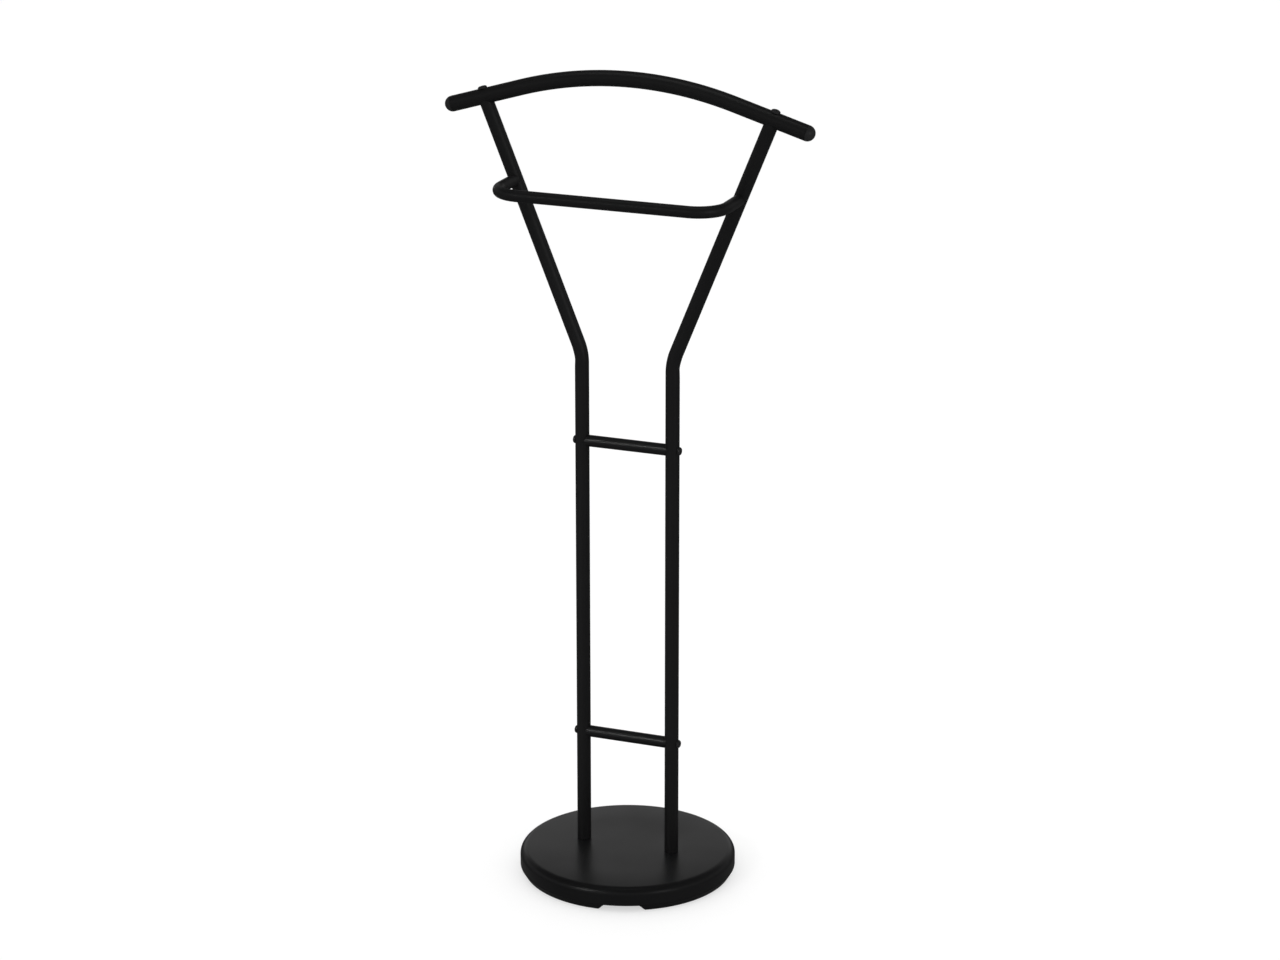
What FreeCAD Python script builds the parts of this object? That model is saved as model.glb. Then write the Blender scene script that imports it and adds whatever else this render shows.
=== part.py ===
import FreeCAD, Part
import math
import os
import re

import Sketcher

# Valet stand: a weighted round base, two bent uprights joined by two rungs, a trouser loop that stands
# forward (-Y) and a bent shoulder bar across the top. The frame's origin is on the floor under the middle
# of the base, +Z is up and the uprights stand side by side along X.

SIZES = {
    # base
    "base_radius": 140.0,
    "base_top": 33.0,
    "base_edge": 10.5,
    "cover_wall": 3.0,
    "cover_rim": 9.2,
    "web_thickness": 2.8,
    "fit_gap": 0.2,
    "ring_inner": 117.0,
    "ring_foot": 134.6,
    "foot_lift": 0.6,
    "notch_top": 45.0,
    "notch_foot": 60.0,
    "notch_angle": 18.4,
    "feet": 4,
    "pad_radius": 6.5,
    "pad_height": 2.0,
    "pad_circle": 125.5,
    "weight_radius": 133.0,
    "weight_height": 8.0,
    "weight_bevel": 1.5,
    "boss_radius": 12.0,
    "screw_boss": 4.5,
    "screw_circle": 104.0,
    "pilot_radius": 1.6,
    "pilot_depth": 12.0,
    # uprights and rungs
    "upright_spacing": 122.0,
    "upright_radius": 9.0,
    "upright_wall": 1.2,
    "spread_start": 694.0,
    "spread_angle": 22.1,
    "spread_bend": 70.0,
    "lower_rung_height": 184.5,
    "upper_rung_height": 579.0,
    "rung_radius": 7.5,
    "rung_wall": 1.2,
    # trouser loop
    "loop_height": 909.0,
    "loop_reach": 84.0,
    "loop_corner": 36.5,
    "loop_radius": 7.5,
    "loop_wall": 1.2,
    # shoulder bar: an arc in the middle, straight beyond it
    "bar_crest": 1046.0,
    "bar_arc": 490.0,
    "bar_arc_half": 140.0,
    "bar_half": 233.0,
    "bar_radius": 10.0,
    "bar_wall": 1.2,
    "bar_joint": 189.6,
    "cap_plug": 14.0,
    # fasteners
    "seat_depth": 0.5,
    "small_hole": 3.3,
    "small_shank": 2.95,
    "small_bore": 3.0,
    "small_head": 5.25,
    "small_head_height": 3.3,
    "small_round": 2.2,
    "small_socket": 2.3,
    "side_bolt_length": 28.0,
    "top_head": 6.0,
    "top_bolt_length": 36.0,
    "large_hole": 4.3,
    "large_shank": 3.95,
    "large_bore": 4.0,
    "large_head": 7.0,
    "large_head_height": 4.2,
    "large_round": 2.8,
    "large_socket": 2.9,
    "base_bolt_length": 38.0,
    "washer_radius": 10.0,
    "washer_thickness": 1.6,
    "insert_length": 15.0,
    "insert_recess": 1.0,
    "screw_radius": 1.55,
    "screw_head": 4.0,
    "screw_head_height": 2.4,
    "screw_round": 1.0,
    "screw_socket": 1.2,
    "screw_length": 12.5,
}

# Lengths and angles that follow from the sizes
UPRIGHT_X = "upright_spacing / 2"
LOOP_X = "(upright_spacing / 2 + (loop_height - spread_start) * tan(spread_angle))"
BAR_SLOPE = "asin(bar_arc_half / bar_arc)"
BAR_SAG = "(bar_arc - sqrt(bar_arc ^ 2 - bar_arc_half ^ 2))"
BAR_SLOPE_RISE = f"tan({BAR_SLOPE})"
JOINT_Z = f"(bar_crest - {BAR_SAG} - (bar_joint - bar_arc_half) * {BAR_SLOPE_RISE})"
WEB_TOP = "(cover_rim + web_thickness)"
HALF_TURN = 180.0

doc = FreeCAD.newDocument("ValetStand")
sheet = doc.addObject("Spreadsheet::Sheet", "Sizes")
for row, (alias, value) in enumerate(SIZES.items(), start=1):
    sheet.set(f"A{row}", alias.replace("_", " "))
    sheet.set(f"B{row}", str(value))
    sheet.setAlias(f"B{row}", alias)
doc.recompute()

aliasWord = re.compile(r"\b(" + "|".join(sorted(SIZES, key=len, reverse=True)) + r")\b")
nodes = []


def bound(expression):
    """The expression with every size read from its cell of the sheet; angles are in degrees."""
    text = aliasWord.sub(r"Sizes.\1", str(expression))
    return re.sub(r"tan\(Sizes\.(\w+)\)", r"tan(Sizes.\1 * 1 deg)", text)


def number(expression):
    value = sheet.evalExpression(bound(expression))
    return float(getattr(value, "Value", value))


def add_body(label):
    body = doc.addObject("PartDesign::Body", "Body_" + label)
    body.Label = label
    return body


def node(obj, label):
    """Mark an object of the document as a sub-part of the stand."""
    obj.Label = label
    nodes.append(obj)
    return obj


def origin_feature(body, role):
    return next(item for item in body.Origin.OriginFeatures if item.Role == role)


def add_sketch(body, role, x=0, y=0, lift=0, turn=0, swing=0):
    """A sketch on one of the body's origin planes, moved in that plane, lifted off it and turned in it, or
    else swung about its own vertical axis."""
    sketch = body.newObject("Sketcher::SketchObject", "Sketch")
    sketch.AttachmentSupport = [(origin_feature(body, role), "")]
    sketch.MapMode = "FlatFace"
    if swing != 0:
        upright_axis = FreeCAD.Vector(0, 1, 0)
        sketch.AttachmentOffset = FreeCAD.Placement(
            FreeCAD.Vector(), FreeCAD.Rotation(upright_axis, number(swing)))
        turn = swing
    moves = {"Base.x": x, "Base.y": y, "Base.z": lift, "Rotation.Angle": turn}
    for path, expression in moves.items():
        if expression != 0:
            sketch.setExpression("AttachmentOffset." + path, bound(expression))
    return sketch


def pin(sketch, geometry, end, x, y):
    """Hold one point of a geometry at the expressions x and y."""
    for kind, expression, axis in (("DistanceX", x, -2), ("DistanceY", y, -1)):
        if expression == 0:
            sketch.addConstraint(Sketcher.Constraint("PointOnObject", geometry, end, axis))
            continue
        constraint = Sketcher.Constraint(kind, -1, 1, geometry, end, number(expression))
        index = sketch.addConstraint(constraint)
        sketch.setExpression(f"Constraints[{index}]", bound(expression))


def set_radius(sketch, geometry, expression):
    index = sketch.addConstraint(Sketcher.Constraint("Radius", geometry, number(expression)))
    sketch.setExpression(f"Constraints[{index}]", bound(expression))


def outline(sketch, corners):
    """A closed polygon through corners given as pairs of expressions."""
    points = [FreeCAD.Vector(number(x), number(y), 0) for x, y in corners]
    count = len(points)
    first = sketch.GeometryCount
    for index in range(count):
        sketch.addGeometry(Part.LineSegment(points[index], points[(index + 1) % count]))
    for index, (x, y) in enumerate(corners):
        following = first + (index + 1) % count
        sketch.addConstraint(Sketcher.Constraint("Coincident", first + index, 2, following, 1))
        pin(sketch, first + index, 1, x, y)


def circle(sketch, radius, x=0, y=0):
    centre = FreeCAD.Vector(number(x), number(y), 0)
    geometry = sketch.addGeometry(Part.Circle(centre, FreeCAD.Vector(0, 0, 1), number(radius)))
    set_radius(sketch, geometry, radius)
    if x == 0 and y == 0:
        sketch.addConstraint(Sketcher.Constraint("Coincident", geometry, 3, -1, 1))
    else:
        pin(sketch, geometry, 3, x, y)


def ring(sketch, outer, wall, x=0, y=0):
    """A tube's section."""
    circle(sketch, outer, x, y)
    circle(sketch, f"{outer} - {wall}", x, y)


def revolve(body, sketch, cut=False):
    """A full turn about the sketch's own vertical axis."""
    kind = "PartDesign::Groove" if cut else "PartDesign::Revolution"
    feature = body.newObject(kind, "Turned")
    feature.Profile = sketch
    feature.ReferenceAxis = (sketch, ["V_Axis"])
    feature.Angle = 360
    return feature


def pad(body, sketch, length, both_ways=False):
    feature = body.newObject("PartDesign::Pad", "Pad")
    feature.Profile = sketch
    feature.setExpression("Length", bound(length))
    feature.Midplane = both_ways
    return feature


def pocket(body, sketch, length, along_normal=False, both_ways=False):
    """A cut against the sketch's normal, or along it, or half each way."""
    feature = body.newObject("PartDesign::Pocket", "Pocket")
    feature.Profile = sketch
    feature.setExpression("Length", bound(length))
    feature.Reversed = along_normal
    feature.Midplane = both_ways
    return feature


def sweep(body, section, path):
    feature = body.newObject("PartDesign::AdditivePipe", "Tube")
    feature.Profile = section
    feature.Spine = (path, [f"Edge{index + 1}" for index in range(path.GeometryCount)])
    return feature


def polar(body, features, count):
    pattern = body.newObject("PartDesign::PolarPattern", "Around")
    pattern.Originals = features
    pattern.Axis = (origin_feature(body, "Z_Axis"), [""])
    pattern.Angle = 360
    pattern.setExpression("Occurrences", bound(count))
    body.Tip = pattern
    return pattern


def mirror_across_middle(body, features):
    mirrored = body.newObject("PartDesign::Mirrored", "Mirrored")
    mirrored.Originals = features
    mirrored.MirrorPlane = (origin_feature(body, "YZ_Plane"), [""])
    body.Tip = mirrored
    return mirrored


def circle_edges(feature, radius, height):
    """Names of the round edges of this radius whose middle is at this height."""
    names = []
    for index, edge in enumerate(feature.Shape.Edges, start=1):
        curve = edge.Curve
        if isinstance(curve, Part.Circle):
            same_radius = abs(curve.Radius - number(radius)) < 1e-3
            same_height = abs(curve.Center.z - number(height)) < 1e-3
            if same_radius and same_height:
                names.append(f"Edge{index}")
    return names


def dress(body, kind, base, radius, height, size):
    """Round or bevel one circular edge."""
    doc.recompute()
    feature = body.newObject("PartDesign::" + kind, kind)
    feature.Base = (base, circle_edges(base, radius, height))
    feature.setExpression("Radius" if kind == "Fillet" else "Size", bound(size))
    return feature


def place(obj, x=0, y=0, z=0, turns=()):
    """Turn an object about the axes one after the other, then move it to expressions x, y and z."""
    rotation = FreeCAD.Rotation()
    for axis, angle in turns:
        rotation = FreeCAD.Rotation(FreeCAD.Vector(*axis), number(angle)) * rotation
    obj.Placement = FreeCAD.Placement(FreeCAD.Vector(), rotation)
    for path, expression in (("x", x), ("y", y), ("z", z)):
        if expression != 0:
            obj.setExpression("Placement.Base." + path, bound(expression))
    return obj


def group(label, members):
    """Identical fasteners that share one node, as separate solids."""
    compound = doc.addObject("Part::Compound", "Group_" + label)
    compound.Links = members
    return node(compound, label)


def spaced_angles(first):
    """The angle of each foot, or of each screw, round the base."""
    return [f"{first} + {index} * 360 / feet" for index in range(int(SIZES["feet"]))]


def around(radius, angle):
    return f"{radius} * cos(({angle}) * 1 deg)", f"{radius} * sin(({angle}) * 1 deg)"


# Base

FOOT_ANGLES = spaced_angles("notch_angle + 180 / feet")


def make_base_cover():
    """A moulded drum, open below, with a round top edge and bosses for the bolts and screws."""
    body = add_body("base_cover")
    profile = add_sketch(body, "XZ_Plane")
    inner = "base_radius - cover_wall"
    under = "base_top - cover_wall"
    outline(profile, [
        (0, under), (0, "base_top"), ("base_radius", "base_top"), ("base_radius", "cover_rim"),
        (inner, "cover_rim"), (inner, under)])
    shell = revolve(body, profile)
    rounded = dress(body, "Fillet", shell, "base_radius", "base_top", "base_edge")
    dress(body, "Fillet", rounded, inner, under, "base_edge - cover_wall")
    bosses = add_sketch(body, "XY_Plane", lift=WEB_TOP)
    for side in (1, -1):
        circle(bosses, "boss_radius", f"{side} * {UPRIGHT_X}")
    for angle in FOOT_ANGLES:
        circle(bosses, "screw_boss", *around("screw_circle", angle))
    pad(body, bosses, f"base_top - cover_wall / 2 - {WEB_TOP}")
    bolt_holes = add_sketch(body, "XY_Plane", lift=WEB_TOP)
    for side in (1, -1):
        circle(bolt_holes, "large_hole", f"{side} * {UPRIGHT_X}")
    pocket(body, bolt_holes, "base_top", along_normal=True)
    pilots = add_sketch(body, "XY_Plane", lift=WEB_TOP)
    for angle in FOOT_ANGLES:
        circle(pilots, "pilot_radius", *around("screw_circle", angle))
    pocket(body, pilots, "pilot_depth", along_normal=True)
    node(body, "base_cover")


def make_base_weight():
    """A cast iron disc that lies on the bottom plate, with clearance round the cover's bosses."""
    body = add_body("base_weight")
    plan = add_sketch(body, "XY_Plane", lift=WEB_TOP)
    circle(plan, "weight_radius")
    for side in (1, -1):
        circle(plan, "boss_radius + 1", f"{side} * {UPRIGHT_X}")
    for angle in FOOT_ANGLES:
        circle(plan, "screw_boss + 1", *around("screw_circle", angle))
    disc = pad(body, plan, "weight_height")
    dress(body, "Chamfer", disc, "weight_radius", f"{WEB_TOP} + weight_height", "weight_bevel")
    node(body, "base_weight")


def make_base_plate():
    """The bottom plate: a web inside the cover's rim over a tapered ring, notched into four feet."""
    body = add_body("base_plate")
    profile = add_sketch(body, "XZ_Plane")
    web_edge = "base_radius - cover_wall - fit_gap"
    outline(profile, [
        (0, "cover_rim"), (0, WEB_TOP), (web_edge, WEB_TOP), (web_edge, "cover_rim"),
        ("base_radius - fit_gap", "cover_rim"), ("ring_foot", "foot_lift"),
        ("ring_inner", "foot_lift"), ("ring_inner", "cover_rim")])
    revolve(body, profile)
    gap = add_sketch(body, "YZ_Plane", swing="notch_angle")
    outline(gap, [
        ("-notch_foot / 2", 0), ("notch_foot / 2", 0),
        ("notch_top / 2", "cover_rim"), ("-notch_top / 2", "cover_rim")])
    notch = pocket(body, gap, "base_radius + 1", along_normal=True)
    polar(body, [notch], "feet")
    recesses = add_sketch(body, "XY_Plane")
    for angle in FOOT_ANGLES:
        circle(recesses, "pad_radius + fit_gap", *around("pad_circle", angle))
    pocket(body, recesses, "pad_height", along_normal=True)
    holes = add_sketch(body, "XY_Plane", lift="cover_rim")
    for side in (1, -1):
        circle(holes, "large_hole", f"{side} * {UPRIGHT_X}")
    for angle in FOOT_ANGLES:
        circle(holes, "screw_radius + fit_gap", *around("screw_circle", angle))
    pocket(body, holes, "web_thickness", along_normal=True)
    node(body, "base_plate")


def make_foot_pads():
    for index, angle in enumerate(FOOT_ANGLES, start=1):
        body = add_body(f"foot_pad_{index}")
        disc = add_sketch(body, "XY_Plane")
        circle(disc, "pad_radius")
        pad(body, disc, "pad_height")
        x, y = around("pad_circle", angle)
        node(place(body, x, y), f"foot_pad_{index}")


# Uprights and rungs

def make_upright(label, half_turn):
    """A tube that stands on the base, leans outwards above its bend and is coped to the shoulder bar."""
    body = add_body(label)
    path = add_sketch(body, "XZ_Plane")
    bend_centre = f"{UPRIGHT_X} + spread_bend"
    bend_start = "spread_start - spread_bend * tan(spread_angle / 2 * 1 deg)"
    bend_end_x = f"{UPRIGHT_X} + spread_bend * (1 - cos(spread_angle * 1 deg))"
    bend_end_z = f"{bend_start} + spread_bend * sin(spread_angle * 1 deg)"
    low = FreeCAD.Vector(number(UPRIGHT_X), number("base_top"), 0)
    start = FreeCAD.Vector(number(UPRIGHT_X), number(bend_start), 0)
    end = FreeCAD.Vector(number(bend_end_x), number(bend_end_z), 0)
    high = FreeCAD.Vector(number("bar_joint"), number(JOINT_Z), 0)
    middle = FreeCAD.Vector(number(bend_centre), number(bend_start), 0)
    bend = Part.Circle(middle, FreeCAD.Vector(0, 0, 1), number("spread_bend"))
    lean = math.radians(number("spread_angle"))
    path.addGeometry(Part.LineSegment(low, start))
    path.addGeometry(Part.ArcOfCircle(bend, math.pi - lean, math.pi))
    path.addGeometry(Part.LineSegment(end, high))
    path.addConstraint(Sketcher.Constraint("Vertical", 0))
    path.addConstraint(Sketcher.Constraint("Tangent", 0, 2, 1, 2))
    path.addConstraint(Sketcher.Constraint("Tangent", 1, 1, 2, 1))
    pin(path, 0, 1, UPRIGHT_X, "base_top")
    set_radius(path, 1, "spread_bend")
    pin(path, 2, 2, "bar_joint", JOINT_Z)
    section = add_sketch(body, "XY_Plane", lift="base_top")
    ring(section, "upright_radius", "upright_wall", UPRIGHT_X)
    sweep(body, section, path)
    cope = add_sketch(body, "XZ_Plane", x="bar_joint", y=JOINT_Z, turn=f"90 - {BAR_SLOPE} / 1 deg")
    outline(cope, [(0, "-3 * bar_radius"), ("bar_radius", "-3 * bar_radius"),
                   ("bar_radius", "3 * bar_radius"), (0, "3 * bar_radius")])
    revolve(body, cope, cut=True)
    heights = ("lower_rung_height", "upper_rung_height")
    rung_holes = add_sketch(body, "YZ_Plane", lift=UPRIGHT_X)
    rung_seats = add_sketch(body, "YZ_Plane", lift=f"{UPRIGHT_X} + upright_radius - seat_depth")
    for height in heights:
        circle(rung_holes, "small_hole", 0, height)
        circle(rung_seats, "small_head + fit_gap", 0, height)
    pocket(body, rung_holes, "3 * upright_radius", both_ways=True)
    pocket(body, rung_seats, "upright_radius", along_normal=True)
    loop_hole = add_sketch(body, "XZ_Plane")
    circle(loop_hole, "small_hole", LOOP_X, "loop_height")
    pocket(body, loop_hole, "3 * upright_radius", both_ways=True)
    if half_turn:
        loop_seat = add_sketch(body, "XZ_Plane", lift="upright_radius - seat_depth")
        circle(loop_seat, "small_head + fit_gap", LOOP_X, "loop_height")
        pocket(body, loop_seat, "upright_radius", along_normal=True)
        turns = [((0, 0, 1), HALF_TURN)]
    else:
        loop_seat = add_sketch(body, "XZ_Plane", lift="seat_depth - upright_radius")
        circle(loop_seat, "small_head + fit_gap", LOOP_X, "loop_height")
        pocket(body, loop_seat, "upright_radius")
        turns = []
    node(place(body, turns=turns), label)


def make_rung(label, height):
    """A straight tube coped at both ends to the uprights."""
    body = add_body(label)
    section = add_sketch(body, "YZ_Plane")
    ring(section, "rung_radius", "rung_wall")
    pad(body, section, "upright_spacing", both_ways=True)
    copes = add_sketch(body, "XY_Plane")
    for side in (1, -1):
        circle(copes, "upright_radius", f"{side} * {UPRIGHT_X}")
    pocket(body, copes, "3 * rung_radius", both_ways=True)
    node(place(body, z=height), label)


# Trouser loop and shoulder bar

def make_trouser_loop():
    """A U-shaped tube whose two legs are coped to the leaning uprights from the front."""
    body = add_body("trouser_loop")
    path = add_sketch(body, "XY_Plane")
    corner_x = f"{LOOP_X} - loop_corner"
    corner_y = "loop_corner - loop_reach"
    front = FreeCAD.Vector(0, number("-loop_reach"), 0)
    before = FreeCAD.Vector(number(corner_x), number("-loop_reach"), 0)
    after = FreeCAD.Vector(number(LOOP_X), number(corner_y), 0)
    back = FreeCAD.Vector(number(LOOP_X), 0, 0)
    middle = FreeCAD.Vector(number(corner_x), number(corner_y), 0)
    corner = Part.Circle(middle, FreeCAD.Vector(0, 0, 1), number("loop_corner"))
    path.addGeometry(Part.LineSegment(front, before))
    path.addGeometry(Part.ArcOfCircle(corner, 1.5 * math.pi, 2 * math.pi))
    path.addGeometry(Part.LineSegment(after, back))
    path.addConstraint(Sketcher.Constraint("Horizontal", 0))
    path.addConstraint(Sketcher.Constraint("Vertical", 2))
    path.addConstraint(Sketcher.Constraint("Tangent", 0, 2, 1, 1))
    path.addConstraint(Sketcher.Constraint("Tangent", 1, 2, 2, 1))
    pin(path, 0, 1, 0, "-loop_reach")
    set_radius(path, 1, "loop_corner")
    pin(path, 2, 2, LOOP_X, 0)
    section = add_sketch(body, "YZ_Plane")
    ring(section, "loop_radius", "loop_wall", "-loop_reach", 0)
    tube = sweep(body, section, path)
    cope = add_sketch(body, "XZ_Plane", x=LOOP_X, turn="-spread_angle")
    outline(cope, [(0, "-3 * loop_radius"), ("upright_radius", "-3 * loop_radius"),
                   ("upright_radius", "3 * loop_radius"), (0, "3 * loop_radius")])
    seat = revolve(body, cope, cut=True)
    mirror_across_middle(body, [tube, seat])
    node(place(body, z="loop_height"), "trouser_loop")


def make_shoulder_bar():
    """A tube bent to a shallow arc with straight ends, drilled square for one bolt at each upright."""
    body = add_body("shoulder_bar")
    path = add_sketch(body, "XZ_Plane")
    slope = math.radians(number(BAR_SLOPE))
    end_z = f"-{BAR_SAG} - (bar_half - bar_arc_half) * {BAR_SLOPE_RISE}"
    arc = Part.Circle(FreeCAD.Vector(0, -number("bar_arc"), 0), FreeCAD.Vector(0, 0, 1), number("bar_arc"))
    arc_end = FreeCAD.Vector(number("bar_arc_half"), -number(BAR_SAG), 0)
    bar_end = FreeCAD.Vector(number("bar_half"), number(end_z), 0)
    path.addGeometry(Part.ArcOfCircle(arc, math.pi / 2 - slope, math.pi / 2))
    path.addGeometry(Part.LineSegment(arc_end, bar_end))
    pin(path, 0, 3, 0, "-bar_arc")
    set_radius(path, 0, "bar_arc")
    path.addConstraint(Sketcher.Constraint("PointOnObject", 0, 2, -2))
    path.addConstraint(Sketcher.Constraint("Tangent", 0, 1, 1, 1))
    pin(path, 1, 2, "bar_half", end_z)
    section = add_sketch(body, "YZ_Plane")
    ring(section, "bar_radius", "bar_wall")
    tube = sweep(body, section, path)
    joint_z = f"-{BAR_SAG} - (bar_joint - bar_arc_half) * {BAR_SLOPE_RISE}"
    turn = f"-{BAR_SLOPE} / 1 deg"
    hole = add_sketch(body, "XZ_Plane", x="bar_joint", y=joint_z, turn=turn)
    outline(hole, [(0, "-2 * bar_radius"), ("small_hole", "-2 * bar_radius"),
                   ("small_hole", "2 * bar_radius"), (0, "2 * bar_radius")])
    drilled = revolve(body, hole, cut=True)
    face = add_sketch(body, "XZ_Plane", x="bar_joint", y=joint_z, turn=turn)
    seat_height = "bar_radius - seat_depth"
    outline(face, [(0, seat_height), ("top_head + fit_gap", seat_height),
                   ("top_head + fit_gap", "2 * bar_radius"), (0, "2 * bar_radius")])
    seat = revolve(body, face, cut=True)
    mirror_across_middle(body, [tube, drilled, seat])
    node(place(body, z="bar_crest"), "shoulder_bar")


def make_bar_cap(label, side):
    """A domed plug pressed into one end of the shoulder bar, turned about its own +Y before it is placed."""
    body = add_body(label)
    profile = add_sketch(body, "XY_Plane")
    bar = number("bar_radius")
    inside = number("bar_radius - bar_wall")
    plug = number("cap_plug")
    dome = Part.Circle(FreeCAD.Vector(), FreeCAD.Vector(0, 0, 1), bar)
    top = FreeCAD.Vector(0, bar, 0)
    rim = FreeCAD.Vector(bar, 0, 0)
    step = FreeCAD.Vector(inside, 0, 0)
    heel = FreeCAD.Vector(inside, -plug, 0)
    base = FreeCAD.Vector(0, -plug, 0)
    profile.addGeometry(Part.ArcOfCircle(dome, 0, math.pi / 2))
    for start, end in ((top, base), (base, heel), (heel, step), (step, rim)):
        profile.addGeometry(Part.LineSegment(start, end))
    joins = ((0, 2, 1, 1), (1, 2, 2, 1), (2, 2, 3, 1), (3, 2, 4, 1), (4, 2, 0, 1))
    for join in joins:
        profile.addConstraint(Sketcher.Constraint("Coincident", *join))
    profile.addConstraint(Sketcher.Constraint("Coincident", 0, 3, -1, 1))
    set_radius(profile, 0, "bar_radius")
    pin(profile, 2, 1, 0, "-cap_plug")
    pin(profile, 3, 1, "bar_radius - bar_wall", "-cap_plug")
    pin(profile, 4, 1, "bar_radius - bar_wall", 0)
    revolve(body, profile)
    end_z = f"bar_crest - {BAR_SAG} - (bar_half - bar_arc_half) * {BAR_SLOPE_RISE}"
    turns = [((0, 0, 1), f"-90 * {side}"), ((0, 1, 0), f"{side} * {BAR_SLOPE} / 1 deg")]
    node(place(body, f"{side} * bar_half", 0, end_z, turns), label)


# Fasteners

def make_bolt(name, head, head_height, rounding, shank, length, socket):
    """A round-headed bolt with a hexagon socket: the head stands on z = 0 and the shank points down."""
    body = add_body(name)
    profile = add_sketch(body, "XZ_Plane")
    outline(profile, [(0, f"-{length}"), (shank, f"-{length}"), (shank, 0), (head, 0),
                      (head, head_height), (0, head_height)])
    turned = revolve(body, profile)
    dress(body, "Fillet", turned, head, head_height, rounding)
    recess = add_sketch(body, "XY_Plane", lift=head_height)
    outline(recess, [around(socket, f"60 * {corner}") for corner in range(6)])
    pocket(body, recess, f"{head_height} * 0.6")
    return body


def make_insert(name, outer, bore):
    """A plug with a tapped hole, from z = 0 down."""
    body = add_body(name)
    section = add_sketch(body, "XY_Plane", lift="-insert_length")
    circle(section, outer)
    circle(section, bore)
    pad(body, section, "insert_length")
    return body


def make_base_fasteners():
    bolts = []
    washers = []
    inserts = []
    for side in (1, -1):
        x = f"{side} * {UPRIGHT_X}"
        bolt = make_bolt("base_bolt", "large_head", "large_head_height", "large_round",
                         "large_shank", "base_bolt_length", "large_socket")
        upside_down = [((1, 0, 0), HALF_TURN)]
        bolts.append(place(bolt, x, 0, "cover_rim - washer_thickness", upside_down))
        washer = add_body("base_washer")
        section = add_sketch(washer, "XY_Plane")
        circle(section, "washer_radius")
        circle(section, "large_hole")
        pad(washer, section, "washer_thickness")
        washers.append(place(washer, x, 0, "cover_rim - washer_thickness"))
        insert = make_insert("foot_insert", "upright_radius - upright_wall", "large_bore")
        inserts.append(place(insert, x, 0, "base_top + insert_length"))
    group("base_bolts", bolts)
    group("base_washers", washers)
    group("foot_inserts", inserts)


def make_plate_screws():
    screws = []
    for angle in FOOT_ANGLES:
        screw = make_bolt("plate_screw", "screw_head", "screw_head_height", "screw_round",
                          "screw_radius", "screw_length", "screw_socket")
        x, y = around("screw_circle", angle)
        screws.append(place(screw, x, y, "cover_rim", [((1, 0, 0), HALF_TURN)]))
    group("plate_screws", screws)


def make_rung_fasteners():
    bolts = []
    inserts = []
    for height in ("lower_rung_height", "upper_rung_height"):
        for side in (1, -1):
            outwards = [((0, 1, 0), f"90 * {side}")]
            bolt = make_bolt("rung_bolt", "small_head", "small_head_height", "small_round",
                             "small_shank", "side_bolt_length", "small_socket")
            seat = f"{side} * ({UPRIGHT_X} + upright_radius - seat_depth)"
            bolts.append(place(bolt, seat, 0, height, outwards))
            insert = make_insert("rung_insert", "rung_radius - rung_wall", "small_bore")
            end = f"{side} * ({UPRIGHT_X} - upright_radius - insert_recess)"
            inserts.append(place(insert, end, 0, height, outwards))
    group("rung_bolts", bolts)
    group("rung_inserts", inserts)


def make_loop_fasteners():
    backwards = [((1, 0, 0), -90)]
    bolts = []
    inserts = []
    for side in (1, -1):
        x = f"{side} * {LOOP_X}"
        bolt = make_bolt("loop_bolt", "small_head", "small_head_height", "small_round",
                         "small_shank", "side_bolt_length", "small_socket")
        bolts.append(place(bolt, x, "upright_radius - seat_depth", "loop_height", backwards))
        insert = make_insert("loop_insert", "loop_radius - loop_wall", "small_bore")
        inserts.append(place(insert, x, "-upright_radius - insert_recess", "loop_height", backwards))
    group("loop_bolts", bolts)
    group("loop_inserts", inserts)


def make_bar_fasteners():
    """Bolts square to the bar. Their plugs lie along the uprights, so each plug is tapped at a slant."""
    bolts = []
    inserts = []
    for side in (1, -1):
        x = f"{side} * bar_joint"
        bolt = make_bolt("bar_bolt", "top_head", "small_head_height", "small_round",
                         "small_shank", "top_bolt_length", "small_socket")
        square = [((0, 1, 0), f"{side} * {BAR_SLOPE} / 1 deg")]
        rise = f"(bar_radius - seat_depth) * cos({BAR_SLOPE})"
        run = f"(bar_radius - seat_depth) * sin({BAR_SLOPE})"
        bolts.append(place(bolt, f"{side} * (bar_joint + {run})", 0, f"{JOINT_Z} + {rise}", square))
        plug = add_body("top_insert")
        section = add_sketch(plug, "XY_Plane", lift="-bar_radius - 2 * insert_recess - insert_length")
        circle(section, "upright_radius - upright_wall")
        pad(plug, section, "insert_length")
        tapping = add_sketch(plug, "XZ_Plane", turn=f"{side} * (spread_angle - {BAR_SLOPE} / 1 deg)")
        outline(tapping, [(0, "-5 * bar_radius"), ("small_bore", "-5 * bar_radius"),
                          ("small_bore", 0), (0, 0)])
        revolve(plug, tapping, cut=True)
        inserts.append(place(plug, x, 0, JOINT_Z, [((0, 1, 0), f"{side} * spread_angle")]))
    group("bar_bolts", bolts)
    group("top_inserts", inserts)


make_base_cover()
make_base_weight()
make_base_plate()
make_foot_pads()
make_plate_screws()
make_base_fasteners()
make_upright("right_upright", False)
make_upright("left_upright", True)
make_rung("lower_rung", "lower_rung_height")
make_rung("upper_rung", "upper_rung_height")
make_rung_fasteners()
make_trouser_loop()
make_loop_fasteners()
make_shoulder_bar()
make_bar_cap("right_bar_cap", 1)
make_bar_cap("left_bar_cap", -1)
make_bar_fasteners()
doc.recompute()

for obj in doc.Objects:
    if "Invalid" in obj.State or "Error" in obj.State:
        raise RuntimeError(f"{obj.Name} ({obj.Label}) failed: {obj.State}")
for part in nodes:
    if part.Shape.isNull() or not part.Shape.isValid():
        raise RuntimeError(f"{part.Label} has no valid shape")

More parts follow.
